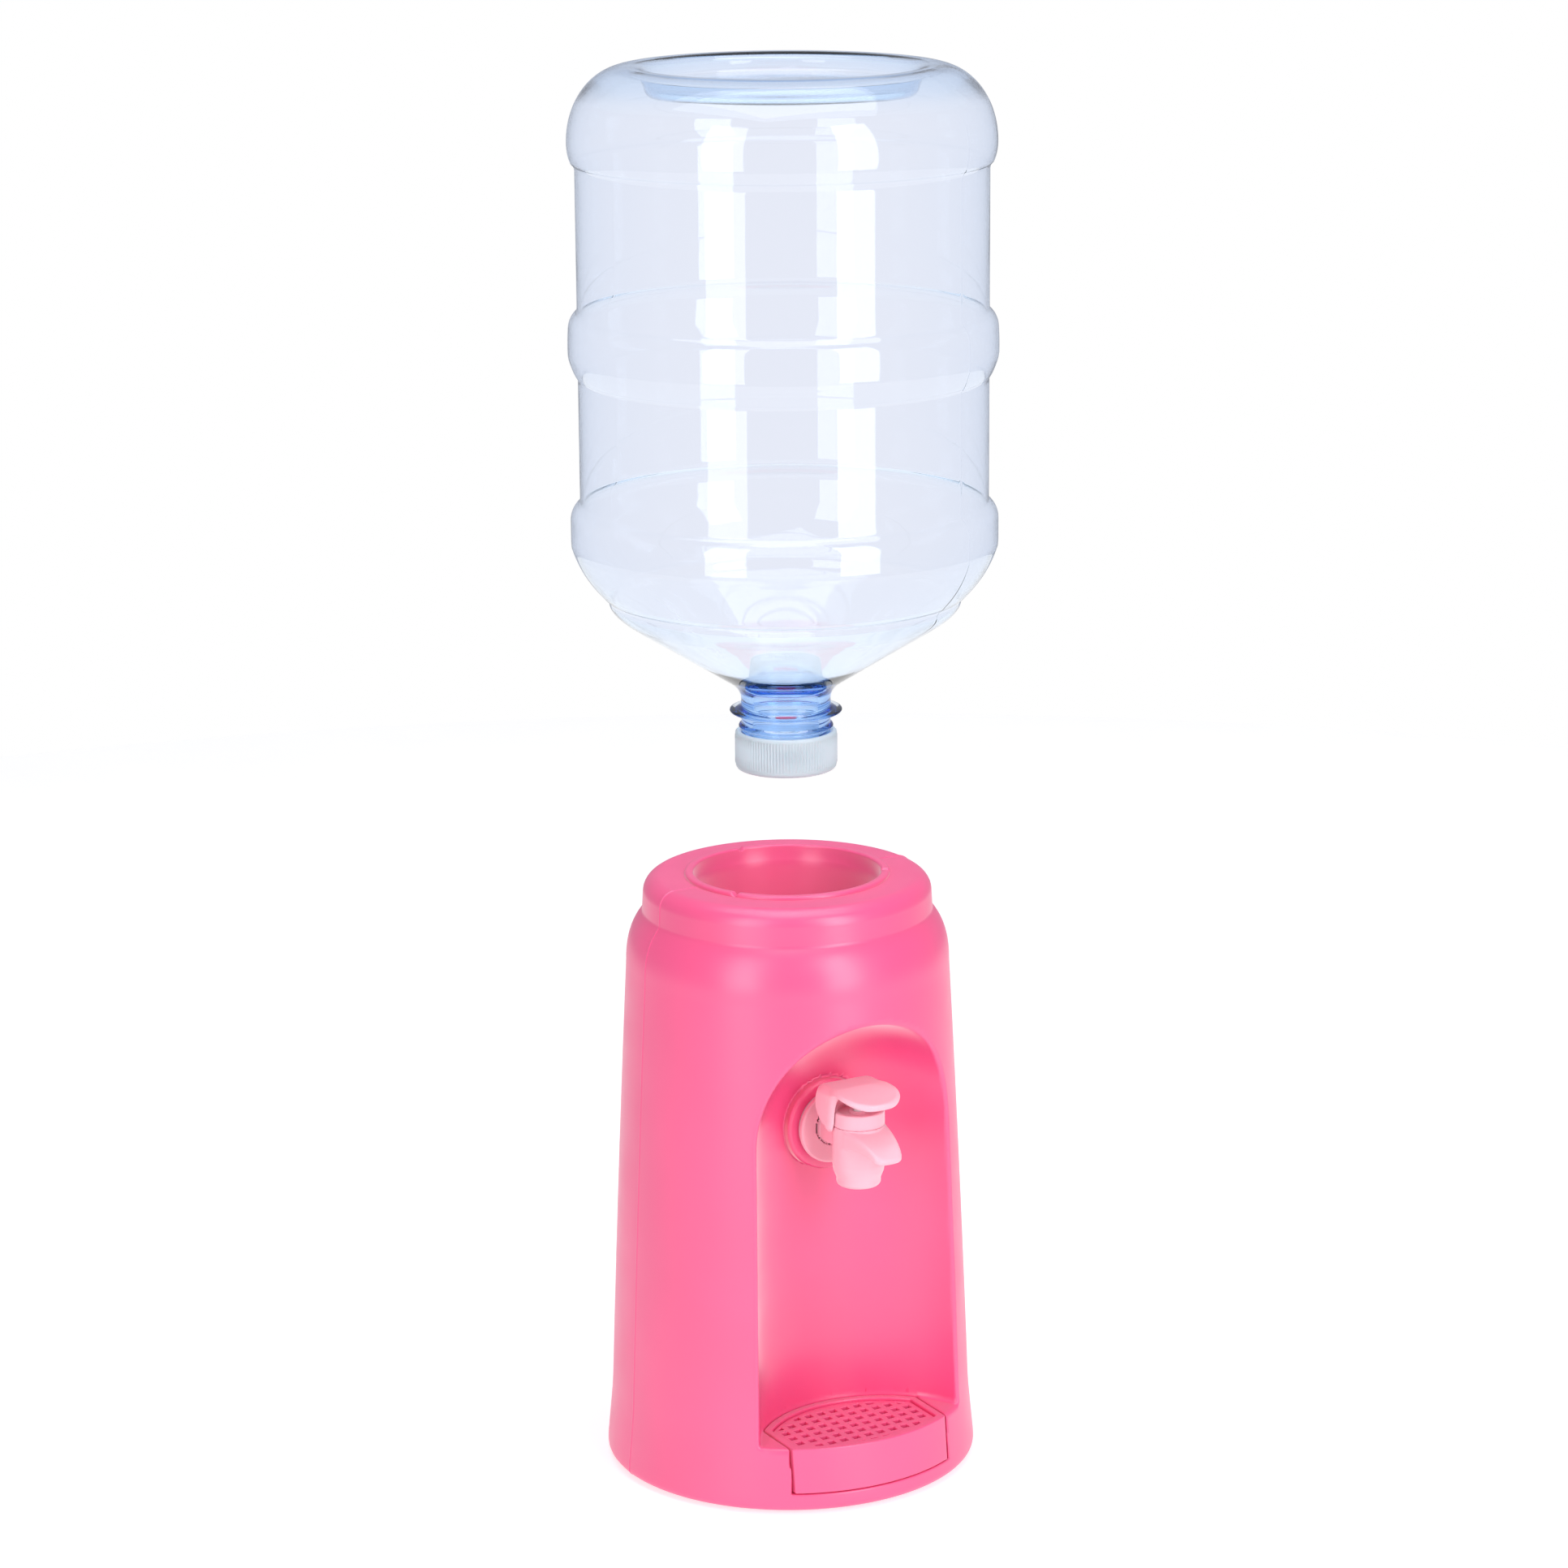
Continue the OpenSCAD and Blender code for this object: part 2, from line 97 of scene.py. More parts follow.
MOUTH_Z = cad_box_mm("bottle")[0][2]
BOTTLE_R, BAND_R, NECK_R = 61.6, 64.5, 13.65
CAP_LOW, CAP_HIGH = cad_box_mm("bottle_cap")
CAP_R = CAP_HIGH[0]


# ---- Outlines ----


def arc(centre, radius, start, end, steps):
    """Points along an arc, from one angle in degrees to another."""
    a = np.radians(np.linspace(start, end, steps + 1))
    return [(centre[0] + radius * math.cos(t), centre[1] + radius * math.sin(t)) for t in a]


def bend(a, b, c, steps):
    """Points along a quadratic curve from a to c that heads for b."""
    a, b, c = (np.array(p, float) for p in (a, b, c))
    return [tuple((1 - t) ** 2 * a + 2 * t * (1 - t) * b + t * t * c)
            for t in np.linspace(0, 1, steps + 1)]


def smooth_step(low, high, value):
    """0 below low, 1 above high, and smooth between them."""
    t = np.clip((value - low) / (high - low), 0, 1)
    return t * t * (3 - 2 * t)


def lines(*spans):
    """Grid lines over spans of (start, end, step)."""
    made = [np.linspace(a, b, max(1, round((b - a) / step)) + 1) for a, b, step in spans]
    return np.unique(np.round(np.concatenate(made), 6))


def mirrored(half):
    """Grid lines from 0 up, repeated below 0."""
    return np.unique(np.concatenate([-half, half]))


# ---- Meshes ----


def add_mesh(name, points, faces, normals=None, sharp=None):
    """A smooth-shaded mesh object from points in millimetres. sharp is the angle, in degrees,
    past which an edge stays crisp; normals, one for each point, are used as they are."""
    mesh = bpy.data.meshes.new(name)
    mesh.from_pydata((np.asarray(points) * MM).tolist(), [], faces)
    mesh.shade_smooth()
    if sharp:
        mesh.set_sharp_from_angle(angle=math.radians(sharp))
    if normals is not None:
        mesh.normals_split_custom_set_from_vertices(normals)
    made = bpy.data.objects.new(name, mesh)
    bpy.context.scene.collection.objects.link(made)
    return made


def revolve(name, outline, angles, shape=None, sharp=35):
    """Turns a closed outline of (radius, height) about Z. The two ends may lie on the axis,
    where the rings close to a point. shape(radius, angle, height) may move the points."""
    radius, height = np.array(outline).T
    turn = np.radians(angles)
    r = np.repeat(radius[:, None], len(turn), 1)
    z = np.repeat(height[:, None], len(turn), 1)
    a = np.repeat(turn[None, :], len(radius), 0)
    if shape:
        r, z = shape(r, a, z)
    points = np.stack([r * np.cos(a), r * np.sin(a), z], -1).reshape(-1, 3)
    n, m = len(turn), len(radius)
    closed = radius[0] > 0.01
    faces = []
    for i in range(m if closed else m - 1):
        j = (i + 1) % m
        for k in range(n):
            low, next_low = i * n + k, i * n + (k + 1) % n
            high, next_high = j * n + k, j * n + (k + 1) % n
            if radius[i] < 0.01:
                faces.append((i * n, next_high, high))
            elif radius[j] < 0.01:
                faces.append((low, next_low, j * n))
            else:
                faces.append((low, next_low, next_high, high))
    return add_mesh(name, points, faces, sharp=sharp)


def loft(name, rings, sharp=35):
    """A closed solid through rings of points, with flat faces across the two ends."""
    n = len(rings[0])
    faces = [tuple(range(n))[::-1], tuple(range((len(rings) - 1) * n, len(rings) * n))]
    for i in range(len(rings) - 1):
        for k in range(n):
            low, high = i * n + k, i * n + (k + 1) % n
            faces.append((low, high, high + n, low + n))
    return add_mesh(name, np.concatenate(rings), faces, sharp=sharp)


def bevel(piece, width, angle=40, segments=3):
    """Rounds the crisp edges of a piece to a width in millimetres."""
    made = piece.modifiers.new("Edge", "BEVEL")
    made.width = width * MM
    made.segments = segments
    made.limit_method = "ANGLE"
    made.angle_limit = math.radians(angle)
    made.harden_normals = True
    return piece


# ---- Solids from distance functions: negative inside, in millimetres ----

# How often a mesh's points are settled onto the surface, and the reach of the two gradients
SETTLE_STEPS, SETTLE_PROBE, NORMAL_PROBE = 3, 0.02, 0.06


def length(*parts):
    """Length of the vector with these components."""
    return np.sqrt(sum(p * p for p in parts))


def both(a, b, radius):
    """What two solids share, with the edge between them rounded."""
    return np.minimum(np.maximum(a, b), -radius) + length(
        np.maximum(a + radius, 0), np.maximum(b + radius, 0))


def either(a, b, radius):
    """Two solids as one, with the corner between them filled to a radius."""
    return -both(-a, -b, radius)


def less(a, b, radius):
    """Solid a with solid b cut from it, and the edge of the cut rounded."""
    return both(a, -b, radius)


def outline_distance(outline, u, v):
    """Distance from (u, v) to a closed outline."""
    u, v = np.broadcast_arrays(u, v)
    nearest = np.full(u.shape, np.inf)
    inside = np.zeros(u.shape, bool)
    for (u0, v0), (u1, v1) in zip(outline, outline[1:] + outline[:1]):
        du, dv = u1 - u0, v1 - v0
        if du == 0 and dv == 0:
            continue
        t = np.clip(((u - u0) * du + (v - v0) * dv) / (du * du + dv * dv), 0, 1)
        nearest = np.minimum(nearest, (u - u0 - t * du) ** 2 + (v - v0 - t * dv) ** 2)
        if dv != 0:
            inside ^= ((v0 > v) != (v1 > v)) & (u < u0 + du * (v - v0) / dv)
    return np.where(inside, -1, 1) * np.sqrt(nearest)


def slope(solid, p, h):
    """Value and gradient of a distance function at points."""
    x, y, z = p.T
    value = solid(x, y, z)
    return value, np.stack([solid(x + h, y, z) - solid(x - h, y, z),
                            solid(x, y + h, z) - solid(x, y - h, z),
                            solid(x, y, z + h) - solid(x, y, z - h)], -1) / (2 * h)


def surface(name, solid, a, b, c, around=False):
    """Meshes a distance function's surface over grid lines a, b, c along X, Y, Z, or, if
    around, along the radius, the angle in degrees from the front, and Z."""
    if around:
        b = np.append(b, b[0] + 360)

    def place(u, v, w):
        if not around:
            return u, v, w
        turn = np.radians(v)
        return u * np.sin(turn), -u * np.cos(turn), w

    grid = place(a[:, None, None], b[None, :, None], c[None, None, :])
    value = np.broadcast_to(solid(*grid), (len(a), len(b), len(c)))
    inside = value < 0
    corner = [(i, j, k) for i in (0, 1) for j in (0, 1) for k in (0, 1)]
    size = np.array(value.shape) - 1
    count = sum(inside[i:i + size[0], j:j + size[1], k:k + size[2]].astype(np.int8)
                for i, j, k in corner)
    cells = np.argwhere((count > 0) & (count < 8))
    cell_id = np.full(size, -1)
    cell_id[tuple(cells.T)] = np.arange(len(cells))

    # each cell's point starts at the middle of the places where its edges cross the surface
    total, hits = np.zeros((len(cells), 3)), np.zeros(len(cells))
    grid_lines = (a, b, c)
    for p in corner:
        for axis in range(3):
            if p[axis]:
                continue
            q = tuple(1 if i == axis else n for i, n in enumerate(p))
            at_p, at_q = cells + p, cells + q
            v0, v1 = value[tuple(at_p.T)], value[tuple(at_q.T)]
            crossed = (v0 < 0) != (v1 < 0)
            t = np.where(crossed, v0 / np.where(crossed, v0 - v1, 1), 0)[:, None]
            from_p = np.stack([g[n] for g, n in zip(grid_lines, at_p.T)], -1)
            from_q = np.stack([g[n] for g, n in zip(grid_lines, at_q.T)], -1)
            total += np.where(crossed[:, None], from_p + t * (from_q - from_p), 0)
            hits += crossed
    points = np.stack(place(*(total / hits[:, None]).T), -1)
    for _ in range(SETTLE_STEPS):
        off, way = slope(solid, points, SETTLE_PROBE)
        step = off / np.maximum((way * way).sum(-1), 0.2)
        points -= np.clip(step, -0.5, 0.5)[:, None] * way

    faces = []
    for axis in range(3):
        u, v = (axis + 1) % 3, (axis + 2) % 3
        low = np.take(inside, range(size[axis]), axis)
        high = np.take(inside, range(1, size[axis] + 1), axis)
        edges = np.argwhere(low != high)
        leaving = low[tuple(edges.T)]
        quads = []
        for du, dv in ((-1, -1), (0, -1), (0, 0), (-1, 0)):
            at = edges.copy()
            at[:, u] += du
            at[:, v] += dv
            if around:
                at[:, 1] %= size[1]
            ok = ((at >= 0) & (at < size)).all(-1)
            quads.append(np.where(ok, cell_id[tuple(np.clip(at, 0, size - 1).T)], -1))
        quads = np.stack(quads, -1)
        quads[~leaving] = quads[~leaving][:, ::-1]
        if around and axis != 1:
            whole = edges[:, 1] < size[1]
            quads = quads[whole]
        faces.append(quads[(quads >= 0).all(-1)])
    way = slope(solid, points, NORMAL_PROBE)[1]
    way /= np.maximum(length(*way.T), 1e-6)[:, None]
    return add_mesh(name, points, np.concatenate(faces).tolist(), normals=way.tolist())


# ---- Base ----

SIDE_BULGE = 0.28
SEAM_H, SEAM_W = 0.25, 0.3
FOOT_ROUND, MOUTH_ROUND, BOSS_ROUND, SLOT_ROUND = 2.5, 1.4, 1.1, 0.45
SHOULDER = bend((SHOULDER_R, SHOULDER_Z), (SHOULDER_R + 0.15, 171.2), (RING_R, CREASE_Z), 24)


def side_radius(z):
    """Radius of the base's side at a height, from the foot's flare to the top ring."""
    t = np.linspace(0, 1, 60)
    bulged = FLARE_R + (SHOULDER_R - FLARE_R) * t + SIDE_BULGE * 4 * t * (1 - t)
    heights = [FOOT_Z, FOOT_Z + 2.5, *(FLARE_Z + t * (SHOULDER_Z - FLARE_Z)),
               *[p[1] for p in SHOULDER[1:]], BASE_TOP - RING_ROUND, BASE_TOP + 5]
    radii = [FOOT_R, FOOT_R, *bulged, *[p[0] for p in SHOULDER[1:]], RING_R - 0.3, RING_R - 0.4]
    return np.interp(z, heights, radii)


def soft_side_radius(z):
    """The side's radius with its kinks eased: over 1 mm at the crease, and over 5 mm at the
    foot's flare."""
    reach = np.where(z > 120, 0.5, 2.5)
    return sum(side_radius(z + reach * t) for t in (-1, -0.5, 0, 0.5, 1)) / 5


def body(x, y, z, inset=0.0):
    """The base's outer form, moved in by inset. The form itself has the mould seam, at y = 0."""
    steep = side_radius(z + 0.5) - side_radius(z - 0.5)
    lean = np.sqrt(1 + np.minimum(steep * steep, 1))
    seam = SEAM_H * np.exp(-((y / SEAM_W) ** 2)) if inset == 0 else 0
    side = (length(x, y) - soft_side_radius(z) - seam) / lean + inset
    top = z - BASE_TOP - seam * 0.7 + inset
    if inset:
        return np.maximum(side, top)
    return both(both(side, top, RING_ROUND), FOOT_Z - z, FOOT_ROUND)


def niche(x, y, z):
    """The niche's upright round room with its domed top."""
    return length(x, y - NICHE_Y, np.maximum(z - NICHE_SPRING, 0)) - NICHE_R


def tray_slot(x, y, z, grow=0.0):
    """The slot that the drip tray slides into, from the front to the niche's back."""
    plan = np.maximum(length(x, y - NICHE_Y) - NICHE_R, np.abs(x) - TRAY_W - SLACK) - grow
    return np.maximum(np.maximum(plan, TRAY_Z - SLACK - grow - z), z - NICHE_FLOOR - 1.5)


def housing(x, y, z):
    """The base's shell, with the niche, the boss behind the tap, the tray's slot and the hole
    that the well hangs in. Its hollow narrows at 45 degrees below the top ring."""
    room = both(niche(x, y, z), NICHE_FLOOR - z, 1.2)
    boss = both(length(x, z - TAP_Z) - BOSS_R, BOSS_Y - y, BOSS_ROUND)
    form = less(body(x, y, z), less(room, boss, 0.6), MOUTH_ROUND)
    form = less(form, tray_slot(x, y, z), SLOT_ROUND)
    hollow = np.maximum(body(x, y, z, WALL), length(x, y) + z - BASE_TOP - RING_R + 7.2)
    hollow = np.maximum(hollow, WALL - niche(x, y, z))
    hollow = np.maximum(hollow, -tray_slot(x, y, z, WALL))
    well = np.maximum(length(x, y) - WELL_R - WELL_WALL - SLACK, BASE_TOP - 10 - z)
    return np.maximum(np.maximum(form, -hollow), -well)


HALF_TURN = lines((0, 26, 1.3), (26, 33, 0.35), (33, 44, 0.75), (44, 88, 2.75),
                  (88, 89, 0.5), (89, 91, 0.25), (91, 92, 0.5), (92, 180, 3.2))
BASE_HEIGHTS = lines((-1, 5, 0.6), (5, 6.2, 0.6), (6.2, 7.2, 0.2), (7.2, 19.8, 1.8),
                     (19.8, 22, 0.3), (22, 96, 2.2), (96, 158, 1.3), (158, 172, 2),
                     (172, 175.6, 0.9), (175.6, 178.6, 0.3), (178.6, 182, 0.7), (182, 189.2, 0.5))
housing_piece = surface("moulded_housing", housing, lines((15.5, 60.2, 1.12)),
                        mirrored(HALF_TURN)[:-1], BASE_HEIGHTS, around=True)

# The well: a lipped mouth with three notches, narrowing to the sump that feeds the tap
WELL_OUTLINE = [
    *arc((LIP_R - 0.8, LIP_TOP - 0.8), 0.8, 90, 0, 5),
    (LIP_R, BASE_TOP + 0.05), (WELL_R + WELL_WALL, BASE_TOP), (WELL_R + WELL_WALL, 152),
    (SUMP_R + WELL_WALL, 128), (SUMP_R + WELL_WALL, SUMP_Z), (0, SUMP_Z),
    (0, SUMP_Z + WELL_WALL), *arc((SUMP_R - 1.5, SUMP_Z + WELL_WALL + 1.5), 1.5, -90, 0, 4),
    *bend((SUMP_R, 126), (SUMP_R, 128), (SUMP_R + 1.2, 130.2), 5),
    *bend((WELL_R - 1.2, 149.8), (WELL_R, 152), (WELL_R, 154.6), 5),
    (WELL_R, 168), (WELL_R, 182),
    *bend((WELL_R, 184), (WELL_R + 0.5, 185.6), (LIP_IN_R, BASE_TOP + 0.4), 5),
    *arc((LIP_IN_R + 0.7, LIP_TOP - 0.7), 0.7, 180, 90, 5)]
NOTCH_DEPTH = 1.25


def notch(r, a, z):
    """Lowers the lip's top in a V at each notch."""
    off = np.min([np.abs((np.degrees(a) - n + 180) % 360 - 180) for n in NOTCH_ANGLES], 0)
    across = np.radians(off) * LIP_R
    depth = np.clip(NOTCH_DEPTH - across, 0, None) * (z > BASE_TOP + 0.3) * (r > WELL_R)
    return r, np.maximum(z - depth, np.minimum(z, BASE_TOP + 0.05))


NOTCH_SIDES = (-2.4, -2.2, -1.1, 0, 1.1, 2.2, 2.4)
around_well = sorted({*range(0, 360, 3), *(n + d for n in NOTCH_ANGLES for d in NOTCH_SIDES)})
well_piece = revolve("well_and_lip", WELL_OUTLINE, around_well, notch)

# ---- Tap ----

BARREL = [(0, NOZZLE_Z), (5.2, NOZZLE_Z), *arc((5.4, NOZZLE_Z + 1.4), 1.4, -80, 0, 6),
          (6.8, 102.3), (7.0, 103.0), (7.7, 104.7), (8, 107), (8, BONNET_Z), (0, BONNET_Z)]
BEAK_SIDE = [
    (40, 109.8), (40, 118.9), *bend((46.5, 119.1), (56.5, 118.0), (62.2, 113.6), 14),
    *arc((61.4, 112.9), 1.1, 10, -90, 5), *bend((60.5, 111.8), (50, 116.4), (43, 110.2), 14)]
BEAK_PLAN = [
    (38, 0), (38, 7.5), (47, 7.5), *bend((48, 7.3), (57, 5.9), (60, 4.9), 8),
    *bend((60.6, 4.7), (62.5, 3.8), (62.5, 1.2), 5), (62.5, 0)]
FLANGE_R, FLANGE_Y, FLANGE_T = 11.5, -26.5, 1.9
DISH_R, DISH_Y = 4.6, -27.4
ARM_W, ARM_H, ARM_Z = 4.5, 4.2, 114.7
SHANK_R, SHANK_BACK, SHANK_FRONT = 5.6, -6, -27
CHAMBER_R, CHAMBER_Z = 5.8, 108.5
OUTLET_R, OUTLET_Z = 5, 106.5
PORT_R, PORT_H, PORT_Z = 3, 3, 107.5


def tap(x, y, z):
    """The tap's one moulding: flange, shank, the arm to the barrel, and the barrel with its
    beak. The valve's chamber, the port below it and the outlet are open."""
    forward = -y
    across = length(x, y - TAP_Y)
    barrel = outline_distance(BARREL, across, z)
    saddle = 0.35 * np.clip(1 - (x / 5.2) ** 2, 0, 1) * smooth_step(50, 56, forward)
    side = outline_distance(BEAK_SIDE, forward, z + saddle)
    plan = outline_distance(BEAK_PLAN + [(f, -w) for f, w in BEAK_PLAN[-2:0:-1]], forward, x)
    form = either(barrel, both(side, plan, 1.0), 0.35)
    arm = both(both(np.abs(x) - ARM_W, np.abs(z - ARM_Z) - ARM_H, 0.6),
               np.maximum(26.9 - forward, forward - 40), 0.3)
    form = either(form, arm, 0.35)
    out = length(x, z - TAP_Z)
    disc = both(out - FLANGE_R, np.maximum(y - FLANGE_Y, FLANGE_Y - FLANGE_T - y), 0.6)
    dish = np.maximum(out - DISH_R - 6.0 * np.clip(forward + DISH_Y, 0, 2), -DISH_Y - forward)
    form = either(form, less(disc, dish, 0.3), 0.3)
    shank = np.maximum(out - SHANK_R, np.maximum(y - SHANK_BACK, SHANK_FRONT - y))
    form = np.minimum(form, shank)
    chamber = np.maximum(across - CHAMBER_R, CHAMBER_Z - z)
    outlet = both(across - OUTLET_R, z - OUTLET_Z, 0.4)
    port = np.maximum(across - PORT_R, np.abs(z - PORT_Z) - PORT_H)
    return np.maximum(np.maximum(less(form, outlet, 0.3), -chamber), -port)


tap_piece = surface("tap_spout", tap, mirrored(lines((0, 12.6, 0.42))),
                    lines((-63.4, -30, 0.42), (-30, -25.6, 0.27), (-25.6, -5, 1.2)),
                    lines((98.8, 127, 0.42)))


BONNET_R, EAR_R, EAR_X, EAR_T = 8, 2.1, 7.2, 0.9
RECESS_R, HUB_R, STEM_HOLE_R = 6.4, 2.8, 1.56


def bonnet(x, y, z):
    """The ring on the barrel: an ear at each end of the pivot, and a hub round the stem."""
    across = length(x, y - TAP_Y)
    middle, half = (BONNET_Z + BONNET_TOP) / 2, (BONNET_TOP - BONNET_Z) / 2
    form = both(across - BONNET_R, np.abs(z - middle) - half, 0.45)
    ears = both(length(y - PIVOT_Y, z - PIVOT_Z) - EAR_R, np.abs(np.abs(x) - EAR_X) - EAR_T, 0.3)
    form = either(form, ears, 0.3)
    recess = np.maximum(across - RECESS_R, BONNET_TOP - 1 - z)
    hub = both(across - HUB_R, z - BONNET_TOP + 0.3, 0.2)
    return np.maximum(less(form, less(recess, hub, 0.1), 0.3), STEM_HOLE_R - across)


bonnet_piece = surface("tap_bonnet_ring", bonnet, mirrored(lines((0, 8.8, 0.4))),
                       lines((-51.8, -34.2, 0.4)), lines((118.4, 124.6, 0.32)))

# The lever seen from the side: a hood over two arms, drawn out into a thumb paddle
LEVER_SIDE = [
    *bend((33.2, 129.6), (33.7, 131.2), (37, 131.3), 6),
    *bend((44, 131.5), (50, 130.9), (56.2, 129.8), 8),
    *arc((56.5, 128.5), 1.4, 50, -100, 8), *bend((54.5, 127.7), (50, 129.5), (46.8, 129.7), 6),
    *bend((46.2, 129.4), (43.2, 127.2), (43, 120.5), 8), *arc((39.9, 119.3), 2.6, -15, -145, 8),
    *bend((37.4, 117.6), (32.6, 120), (31.8, 123.9), 8),
    *bend((31.8, 124.2), (31.4, 127), (33.2, 129.6), 6)]
LEVER_UNDER = [(36, 129.7), (47, 129.7), *bend((48, 129.6), (52, 128.9), (57.9, 127.1), 8)]
LEVER_W, PADDLE_R, ARM_IN = 9.8, 10.3, 8.3
PADDLE_Y = 47.6
PAD_R, PAD_Z, PAD_H = 2.2, 128, 2.5
THUMB_Y, THUMB_Z, THUMB_R = 54.6, 151.6, 22


def lever(x, y, z):
    """The lever: hollow below, with a pad that presses the stem and a dip for the thumb."""
    forward = -y
    side = outline_distance(LEVER_SIDE, forward, z)
    wide = LEVER_W + (PADDLE_R - LEVER_W) * smooth_step(40, 45, forward)
    plan = length(x, np.maximum(forward - PADDLE_Y, 0)) - wide
    hood = smooth_step(49, 40, forward)
    form = both(side, plan, 1.25 + 1.5 * hood)
    under = np.interp(forward, [p[0] for p in LEVER_UNDER], [p[1] - 0.3 for p in LEVER_UNDER])
    between = both(np.abs(x) - ARM_IN, z - under, 1.2)
    form = less(form, between, 0.35)
    pad = both(length(x, y - TAP_Y) - PAD_R, np.abs(z - PAD_Z) - PAD_H, 0.3)
    thumb = length(x, forward - THUMB_Y, z - THUMB_Z) - THUMB_R
    return less(either(form, pad, 0.5), thumb, 1.2)


lever_piece = surface("tap_lever_hood", lever, mirrored(lines((0, 10.9, 0.36))),
                      lines((-58.8, -30.6, 0.36)), lines((116, 132.3, 0.32)))

# ---- Drip tray and grate ----


def tray_ring(inset, front_r, z):
    """The tray's plan, moved in by inset, at a height: a round front and back between straight
    sides."""
    w, back_r = TRAY_W - inset, NICHE_R - inset
    front = math.degrees(math.asin(w / front_r))
    back = math.degrees(math.asin(w / back_r))
    y_front = -front_r * math.cos(math.radians(front))
    y_back = NICHE_Y + back_r * math.cos(math.radians(back))
    side = np.linspace(y_front, y_back, 7)[1:-1]
    plan = [*arc((0, 0), front_r, -90 - front, -90 + front, 40), *[(w, y) for y in side],
            *arc((0, NICHE_Y), back_r, 90 - back, 90 + back, 48), *[(-w, y) for y in side[::-1]]]
    return np.array([(x, y, z) for x, y in plan])


tray_piece = loft("drip_tray_body", [
    *[tray_ring(SLACK, float(side_radius(z)), z) for z in np.linspace(TRAY_Z, NICHE_FLOOR, 5)],
    tray_ring(TRAY_RIM, TRAY_FRONT_R - TRAY_RIM, NICHE_FLOOR),
    tray_ring(TRAY_RIM, TRAY_FRONT_R - TRAY_RIM, GRATE_Z),
    tray_ring(TRAY_RIM + 1.8, TRAY_FRONT_R - TRAY_RIM - 1.8, GRATE_Z),
    tray_ring(TRAY_RIM + 2.2, TRAY_FRONT_R - TRAY_RIM - 2.2, TRAY_Z + 2)])
bevel(tray_piece, 0.4)


def clipped(polygon, fence):
    """The part of a polygon inside a convex, counterclockwise fence."""
    for (x0, y0), (x1, y1) in zip(fence, fence[1:] + fence[:1]):
        def side(p):
            return (x1 - x0) * (p[1] - y0) - (y1 - y0) * (p[0] - x0)
        kept = []
        for p, q in zip(polygon, polygon[1:] + polygon[:1]):
            if side(p) >= 0:
                kept.append(p)
            if (side(p) >= 0) != (side(q) >= 0):
                t = side(p) / (side(p) - side(q))
                kept.append((p[0] + t * (q[0] - p[0]), p[1] + t * (q[1] - p[1])))
        polygon = kept
        if len(polygon) < 3:
            return []
    return polygon


def plan_points(inset):
    """The tray's plan moved in by inset, as plain pairs."""
    return [(x, y) for x, y, z in tray_ring(inset, TRAY_FRONT_R - inset, 0)]


GRATE_EDGE = 0.25
field = plan_points(TRAY_RIM + SLACK + 1.2)
grate_curve = bpy.data.curves.new("grate", "CURVE")
grate_curve.dimensions = "2D"
grate_curve.fill_mode = "BOTH"
grate_curve.extrude = ((GRATE_TOP - GRATE_Z) / 2 - GRATE_EDGE) * MM
grate_curve.bevel_depth = GRATE_EDGE * MM
grate_curve.bevel_resolution = 2
grate_curve.offset = -GRATE_EDGE * MM
holes = [clipped([(x - HOLE_W / 2, y - HOLE_W / 2), (x + HOLE_W / 2, y - HOLE_W / 2),
                  (x + HOLE_W / 2, y + HOLE_W / 2), (x - HOLE_W / 2, y + HOLE_W / 2)], field)
         for x in np.arange(-5, 6) * HOLE_PITCH for y in -22.4 - np.arange(9) * HOLE_PITCH]


def area(polygon):
    """A polygon's area."""
    sides = zip(polygon, polygon[1:] + polygon[:1])
    return abs(sum(x0 * y1 - x1 * y0 for (x0, y0), (x1, y1) in sides)) / 2


kept_holes = [hole for hole in holes if hole and area(hole) > 1]
for outline in [plan_points(TRAY_RIM + SLACK), *kept_holes]:
    spline = grate_curve.splines.new("POLY")
    spline.points.add(len(outline) - 1)
    spline.use_cyclic_u = True
    for point, (x, y) in zip(spline.points, outline):
        point.co = (x * MM, y * MM, 0, 1)
flat = bpy.data.objects.new("grate", grate_curve)
bpy.context.scene.collection.objects.link(flat)
bpy.context.view_layer.update()
grate_mesh = bpy.data.meshes.new_from_object(
    flat.evaluated_get(bpy.context.evaluated_depsgraph_get()))
bpy.data.objects.remove(flat)
grate_piece = bpy.data.objects.new("drip_grate_plate", grate_mesh)
bpy.context.scene.collection.objects.link(grate_piece)
grate_piece.location.z = (GRATE_Z + GRATE_TOP) / 2 * MM
grate_mesh.shade_smooth()
grate_mesh.set_sharp_from_angle(angle=math.radians(50))

# ---- Bottle, upside down, with heights measured up from its mouth ----

